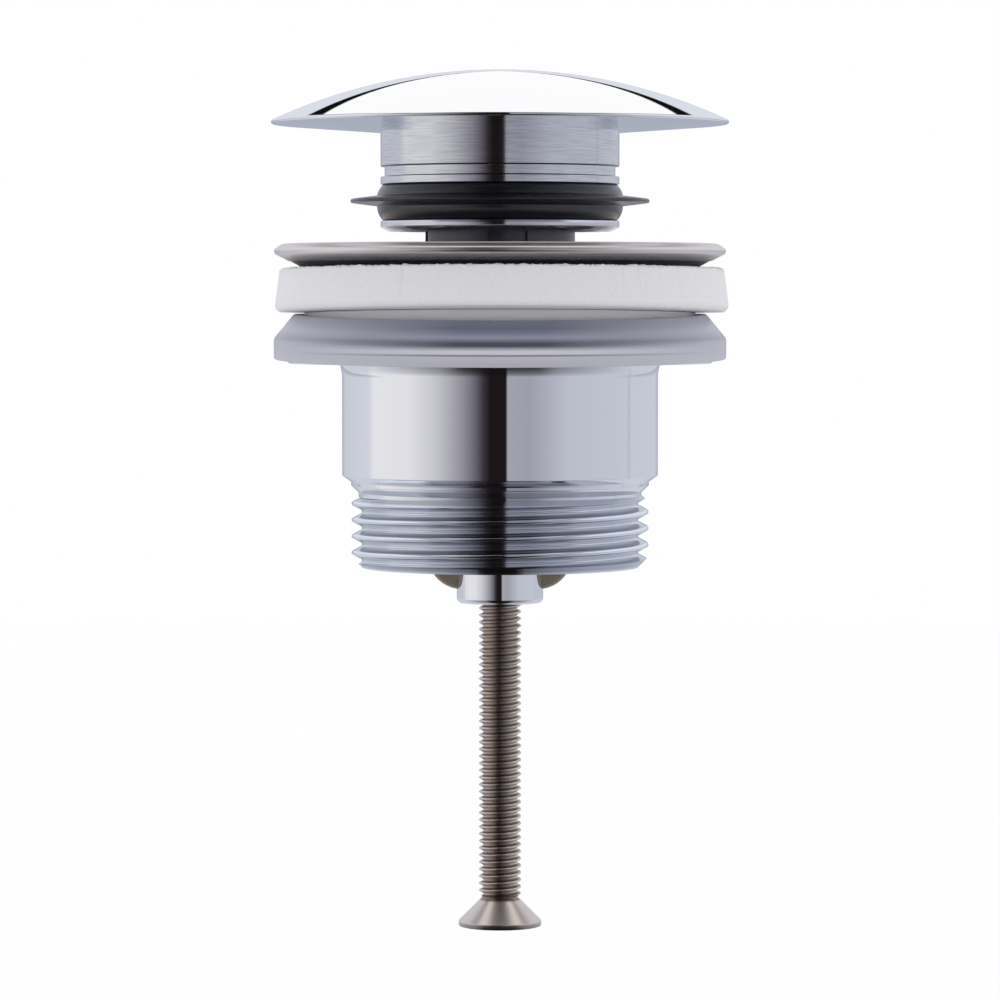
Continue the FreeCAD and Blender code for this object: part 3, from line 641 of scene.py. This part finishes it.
def makeCarrier():
    c = carrier
    piece = turnPiece("sealCarrier", [
        (c["bore"], c["bottom"]),
        (c["radius"] - c["chamfer"], c["bottom"]),
        (c["radius"], c["bottom"] + c["chamferRise"]),
        (c["radius"], c["bottom"] + c["ring"]),
        (c["seat"], c["bottom"] + c["ring"]),
        (c["seat"], c["sealTop"]),
        (c["radius"], c["sealTop"]),
        (c["radius"], c["grooveBottom"]),
        (c["radius"] - c["grooveDepth"], c["grooveBottom"]),
        (c["radius"] - c["grooveDepth"], c["grooveTop"]),
        (c["radius"], c["grooveTop"]),
        (c["radius"], c["under"] + c["sunk"]),
        (c["hole"], c["under"] + c["sunk"]),
        (c["hole"], c["ceiling"]),
        (c["bore"] - c["cupRound"], c["ceiling"]),
        (c["bore"], c["ceiling"] - c["cupRound"], c["cupRound"], -1, 6),
    ], steps=192, round=c["round"])
    finish(piece, finishes["turned_chrome"], "plug", "turned_chrome", "seal_carrier")


seal = {
    "seat": 15.45, "bottom": 49.1, "top": 54.2, "end": 16.45, "bulge": 17.3, "lipRadius": 21.1,
    "lipHeight": 51.9, "lipRoot": 0.75, "lipTip": 0.3, "tipRound": 0.306, "curve": 3.0, "round": 0.1,
}


def makeSeal():
    c = seal
    piece = turnPiece("plugSeal", [
        (c["seat"], c["bottom"]),
        (c["end"], c["bottom"]),
        (c["bulge"], c["lipHeight"] - c["lipRoot"], c["curve"], 1, 8),
        (c["lipRadius"] - c["lipTip"], c["lipHeight"] - c["lipTip"]),
        (c["lipRadius"] - c["lipTip"], c["lipHeight"] + c["lipTip"], c["tipRound"], 1, 8),
        (c["bulge"], c["lipHeight"] + c["lipRoot"]),
        (c["end"], c["top"], c["curve"], 1, 8),
        (c["seat"], c["top"]),
    ], steps=192, round=c["round"])
    finish(piece, finishes["black_rubber"], "plug", "black_rubber", "plug_seal")


makeCap()
makeCarrier()
makeSeal()
print("plug made")


# The flange and the packing under it

flange = {
    "radius": 31.8, "height": 45.9, "crest": 30.3, "foot": 29.8, "rimInset": 0.3, "rimLow": 1.55,
    "rimHigh": 0.6, "rimRound": 0.55, "tube": 20.1, "bore": 18.6, "tubeBottom": 13.6,
    "seatHeight": 41.18, "seatRadius": 21.1, "wall": 1.6, "dishLow": 42.75, "footHeight": 43.47,
    "meet": 23.81, "crestRound": 3.0, "round": 0.15,
}


def makeFlange():
    c = flange
    low = c["seatHeight"] - c["seatRadius"]
    piece = turnPiece("flangeDish", [
        (c["bore"], c["tubeBottom"]),
        (c["tube"], c["tubeBottom"]),
        (c["tube"], low + c["tube"] - c["wall"]),
        (c["dishLow"] - low + c["wall"], c["dishLow"]),
        (c["foot"], c["footHeight"]),
        (c["radius"] - c["rimInset"], c["height"] - c["rimLow"]),
        (c["radius"] - c["rimInset"], c["height"] - c["rimHigh"], c["rimRound"], 1, 8),
        (c["crest"], c["height"], c["crestRound"], 1, 6),
        (c["meet"], low + c["meet"]),
        (c["bore"], low + c["bore"]),
    ], steps=256, round=c["round"])
    finish(piece, finishes["satin_stainless"], "fixed", "satin_stainless", "flange")


packing = {
    "gasketTop": 35.5, "gasketLip": 36.05, "gasketLipInner": 27.75, "gasketLipRadius": 29.0,
    "gasketRadius": 31.85, "gasketCone": 32.6, "gasketFoot": 29.75, "gasketHollow": 30.4, "gasketBore": 20.4,
    "gasketRound": 0.25, "rimTop": 32.0,
    "slipRadius": 27.6, "slipTop": 36.1, "slipRound": 0.12, "bore": 21.0,
    "foamTop": 42.3, "foamTopRadius": 31.2, "foamRadius": 31.9, "foamRound": 1.0, "foamHeel": 0.12,
    "foamMouth": 24.32, "foamCone": 38.98, "foamCut": 0.3,
    "washerBore": 24.57, "washerFoot": 27.4, "washerRadius": 29.5, "washerOuter": 43.43,
    "washerInner": 42.79, "washerRound": 0.1,
}

# how the soft pieces are bent in front: degrees of lean, and the radii and heights between which they bend
bends = {
    "gasket": 1.6, "gasketFrom": 32.2, "skirt": 1.5, "skirtTo": 30.25, "slip": 1.4,
    "foam": 1.0, "foamUnder": 0.9, "foamWaist": 38.5, "foamWall": 29.5,
    "shift": 0.25, "ragged": 0.2, "raggedWall": 30.2, "raggedFrom": 41.2,
}


def pickVertices(piece, inner, low, high, front):
    # picks vertices outside a radius and between two heights in mm, on the front half or all round
    bpy.ops.object.mode_set(mode="EDIT")
    bpy.ops.mesh.select_mode(type="VERT")
    bpy.ops.mesh.select_all(action="DESELECT")
    bpy.ops.object.mode_set(mode="OBJECT")
    for vertex in piece.data.vertices:
        out, level = math.hypot(*vertex.co.xy) / mm, vertex.co.z / mm
        vertex.select = out > inner and low < level < high and (vertex.co.y < 0 or not front)
    bpy.ops.object.mode_set(mode="EDIT")


def leanFront(piece, lean, pivot, low=0.0, high=100.0, inner=0.0):
    # turns the front half of a soft piece up or down by degrees about a height in mm
    pickVertices(piece, inner, low, high, True)
    bpy.ops.transform.rotate(value=lean * degree, orient_axis="X", center_override=(0, 0, pivot * mm))
    bpy.ops.object.mode_set(mode="OBJECT")


def shiftWall(foam):
    # the foam's outer wall stands a little to the right of the flange
    pickVertices(foam, bends["foamWall"], 0.0, 100.0, False)
    bpy.ops.transform.translate(value=(bends["shift"] * mm, 0, 0))
    bpy.ops.object.mode_set(mode="OBJECT")


def tearEdge(foam):
    # the cut edge of the foam is ragged
    pickVertices(foam, bends["raggedWall"], bends["raggedFrom"], 100.0, False)
    bpy.ops.transform.vertex_random(offset=bends["ragged"] * mm, seed=4)
    bpy.ops.object.mode_set(mode="OBJECT")


def makePacking():
    c = packing
    gasket = turnPiece("coneGasket", [
        (c["gasketBore"], c["rimTop"]),
        (c["gasketHollow"], c["rimTop"]),
        (c["gasketHollow"], c["gasketFoot"]),
        (c["gasketRadius"], c["gasketFoot"]),
        (c["gasketRadius"], c["gasketCone"]),
        (c["gasketLipRadius"], c["gasketLip"]),
        (c["gasketLipInner"], c["gasketLip"]),
        (c["gasketLipInner"], c["gasketTop"]),
        (c["gasketBore"], c["gasketTop"]),
    ], steps=192, round=c["gasketRound"])
    leanFront(gasket, -bends["gasket"], c["gasketTop"], low=bends["gasketFrom"])
    leanFront(gasket, -bends["skirt"], c["gasketFoot"], high=bends["skirtTo"])
    finish(gasket, finishes["smoky_gasket"], "fixed", "smoky_gasket", "cone_gasket")
    slip = turnPiece("slipWasher", [
        (c["bore"], c["gasketTop"]),
        (c["slipRadius"], c["gasketTop"]),
        (c["slipRadius"], c["slipTop"]),
        (c["bore"], c["slipTop"]),
    ], steps=160, round=c["slipRound"])
    middle = (c["gasketTop"] + c["slipTop"]) / 2
    leanFront(slip, -bends["gasket"], c["gasketTop"], high=middle)
    leanFront(slip, bends["slip"], c["slipTop"], low=middle)
    finish(slip, finishes["slip_fibre"], "fixed", "slip_fibre", "slip_washer")
    foam = turnPiece("foamWasher", [
        (c["bore"], c["slipTop"]),
        (c["foamRadius"] - c["foamRound"], c["slipTop"] + c["foamHeel"]),
        (c["foamRadius"], c["slipTop"] + c["foamHeel"] + c["foamRound"], c["foamRound"], 1, 6),
        (c["foamTopRadius"], c["foamTop"]),
        (c["foamMouth"], c["foamTop"]),
        (c["bore"], c["foamCone"]),
    ], steps=512, round=c["foamCut"])
    leanFront(foam, bends["foam"], c["foamTop"], inner=bends["foamWall"])
    leanFront(foam, bends["foamUnder"], c["slipTop"], high=bends["foamWaist"], inner=bends["foamWall"])
    shiftWall(foam)
    tearEdge(foam)
    finish(foam, finishes["white_foam"], "fixed", "white_foam", "foam_washer")
    washer = turnPiece("flangeWasher", [
        (c["washerBore"], c["foamTop"]),
        (c["washerFoot"], c["foamTop"]),
        (c["washerRadius"], c["washerOuter"]),
        (c["washerBore"], c["washerInner"]),
    ], steps=192, round=c["washerRound"])
    finish(washer, finishes["black_rubber"], "fixed", "black_rubber", "flange_washer")


makeFlange()
makePacking()
print("flange and packing made")


# The threaded outlet body and the clamp screw

outlet = {
    "crest": 20.955, "root": 19.475, "pitch": 2.309, "crestAtRight": 8.18, "threadLow": -1.0,
    "threadTop": 10.2, "threadSpare": 1.0, "chamfer": 1.85, "end": 0.35, "fade": 0.9, "clear": 0.2,
    "lap": 0.1, "lapCut": 0.3,
    "relief": 19.95, "reliefRise": 1.0, "reliefTop": 11.9, "shoulder": 12.4, "shoulderRadius": 21.0,
    "barrel": 22.25, "barrelLow": 13.3, "rimLow": 29.1, "rim": 29.9, "rimRound": 0.3, "top": 32.0,
    "flare": 0.42, "flareHeight": 2.0, "flareRound": 4.9,
    "bore": 17.4, "step": 12.9, "upperBore": 20.25, "ringGroove": 22.1, "ringSeat": 30.0, "round": 0.06,
    "armInner": 5.5, "armOuter": 18.0, "armTop": 4.6, "armDrop": 2.75, "armKnee": 9.8, "armKneeHeight": 0.2,
    "armKneeRound": 4.8, "armOuterHeight": 1.4, "armThickness": 3.2, "armRound": 0.5,
    "boss": 6.1, "bossLow": -4.7, "bossTop": 5.5, "bossRound": 0.7, "bossHole": 3.08,
}


def makeBodyShell():
    c = outlet
    shell = turnPiece("outletBody", [
        (c["bore"], c["threadTop"] + c["lap"]),
        (c["relief"], c["threadTop"] + c["lap"]),
        (c["relief"], c["reliefTop"] - c["reliefRise"]),
        (c["shoulderRadius"], c["reliefTop"]),
        (c["shoulderRadius"], c["shoulder"]),
        (c["barrel"], c["barrelLow"]),
        (c["barrel"], c["rimLow"] - c["flareHeight"]),
        (c["barrel"] + c["flare"], c["rimLow"], c["flareRound"], -1, 10),
        (c["rim"] - c["rimRound"], c["rimLow"]),
        (c["rim"], c["rimLow"] + c["rimRound"], c["rimRound"], 1, 5),
        (c["rim"], c["top"] - c["rimRound"]),
        (c["rim"] - c["rimRound"], c["top"], c["rimRound"], 1, 5),
        (c["ringGroove"], c["top"]),
        (c["ringGroove"], c["ringSeat"]),
        (c["upperBore"], c["ringSeat"]),
        (c["upperBore"], c["step"]),
        (c["bore"], c["step"]),
    ], steps=256, round=c["round"])
    finish(shell, finishes["polished_chrome"], "fixed", "polished_chrome", "outlet_body")
    envelope = turnPiece("envelope", [
        (c["bore"], c["end"]),
        (c["crest"] - c["chamfer"] + c["end"], c["end"]),
        (c["crest"] + c["clear"], c["chamfer"] + c["clear"]),
        (c["crest"] + c["clear"], c["threadTop"] - c["fade"]),
        (c["relief"], c["threadTop"] + c["lapCut"]),
        (c["bore"], c["threadTop"] + c["lapCut"]),
    ], steps=128)
    rod = threadedRod(
        "bodyThread", c["crest"], c["root"], c["pitch"], c["threadLow"], c["threadTop"] + c["threadSpare"],
        lead=c["crestAtRight"] - c["threadLow"] - 2 * c["pitch"], steps=128,
    )
    combine(rod, envelope, "INTERSECT")
    finish(rod, finishes["cut_chrome"], "fixed", "polished_chrome", "outlet_body", smooth=40)


def makeArms():
    c = outlet
    corners = outlinePoints([
        (-c["armInner"], c["armTop"]),
        (-c["armOuter"], c["armTop"]),
        (-c["armOuter"], c["armOuterHeight"]),
        (-c["armKnee"], c["armKneeHeight"]),
        (-c["armInner"], -c["armDrop"], c["armKneeRound"], 1, 8),
    ])
    arms = drawOutline("bodyArms", corners + corners[:1])
    bpy.ops.mesh.select_all(action="SELECT")
    bpy.ops.mesh.remove_doubles(threshold=0.01 * mm)
    bpy.ops.mesh.edge_face_add()
    bpy.ops.transform.translate(value=(0, -c["armThickness"] / 2 * mm, 0))
    bpy.ops.mesh.extrude_region_move(TRANSFORM_OT_translate={"value": (0, c["armThickness"] * mm, 0)})
    bpy.ops.mesh.select_all(action="SELECT")
    bpy.ops.mesh.normals_make_consistent(inside=False)
    bpy.ops.mesh.duplicate()
    bpy.ops.transform.rotate(value=math.pi, orient_axis="Z", center_override=(0, 0, 0))
    bpy.ops.object.mode_set(mode="OBJECT")
    bevelEdges(arms, c["armRound"], segments=4)
    finish(arms, finishes["brass"], "fixed", "brass", "outlet_body")
    boss = turnPiece("bodyBoss", [
        (c["bossHole"], c["bossLow"]),
        (c["boss"] - c["bossRound"], c["bossLow"]),
        (c["boss"], c["bossLow"] + c["bossRound"], c["bossRound"], 1, 6),
        (c["boss"], c["bossTop"]),
        (c["bossHole"], c["bossTop"]),
    ], steps=96)
    finish(boss, finishes["polished_chrome"], "fixed", "polished_chrome", "outlet_body")


screw = {
    "crest": 3.0, "root": 2.39, "pitch": 1.0, "lead": -0.22, "top": 9.5, "tip": 0.6, "clear": 0.1,
    "threadSpare": 0.2, "coneSpare": 0.5, "fadeLow": 0.2, "fadeHigh": 0.3,
    "headLow": -50.5, "edge": 0.7, "edgeRound": 0.15, "head": 5.84, "neck": 2.6, "neckHigh": -46.1,
    "headLap": 0.05, "headRound": 0.08, "recessWidth": 1.3, "recessReach": 2.9, "recessDepth": 2.2,
}


def makeScrew():
    c = screw
    cone = c["headLow"] + c["edge"] + c["head"] - c["neck"]
    rod = threadedRod(
        "clampScrew", c["crest"], c["root"], c["pitch"], cone - c["threadSpare"], c["top"],
        lead=c["lead"], steps=40, count=12,
    )
    envelope = turnPiece("envelope", [
        (0.0, cone - c["coneSpare"]),
        (c["neck"], cone - c["coneSpare"]),
        (c["neck"], c["neckHigh"] - c["fadeLow"]),
        (c["crest"] + c["clear"], c["neckHigh"] + c["fadeHigh"]),
        (c["crest"] + c["clear"], c["top"] - c["tip"]),
        (c["crest"] - c["tip"], c["top"]),
        (0.0, c["top"]),
    ], steps=80)
    combine(rod, envelope, "INTERSECT")
    head = turnPiece("screwHead", [
        (0.0, c["headLow"]),
        (c["head"] - c["edgeRound"], c["headLow"]),
        (c["head"], c["headLow"] + c["edgeRound"], c["edgeRound"], 1, 4),
        (c["head"], c["headLow"] + c["edge"]),
        (c["neck"], cone),
        (0.0, cone + c["headLap"]),
    ], steps=96)
    # the cross recess, one bar at a time
    long, wide, deep = 2 * c["recessReach"] * mm, c["recessWidth"] * mm, 2 * c["recessDepth"] * mm
    for scale in ((long, wide, deep), (wide, long, deep)):
        bpy.ops.object.select_all(action="DESELECT")
        bpy.ops.mesh.primitive_cube_add(size=1)
        bar = bpy.context.object
        bar.scale = scale
        bar.location = (0, 0, c["headLow"] * mm)
        bpy.ops.object.transform_apply(location=True, rotation=True, scale=True)
        combine(head, bar, "DIFFERENCE")
    bevelEdges(head, c["headRound"], angle=35, segments=2)
    combine(rod, head, "UNION")
    finish(rod, finishes["screw_steel"], "screw", "screw_steel", "clamp_screw", smooth=40)


makeBodyShell()
makeArms()
makeScrew()
print("outlet and screw made")
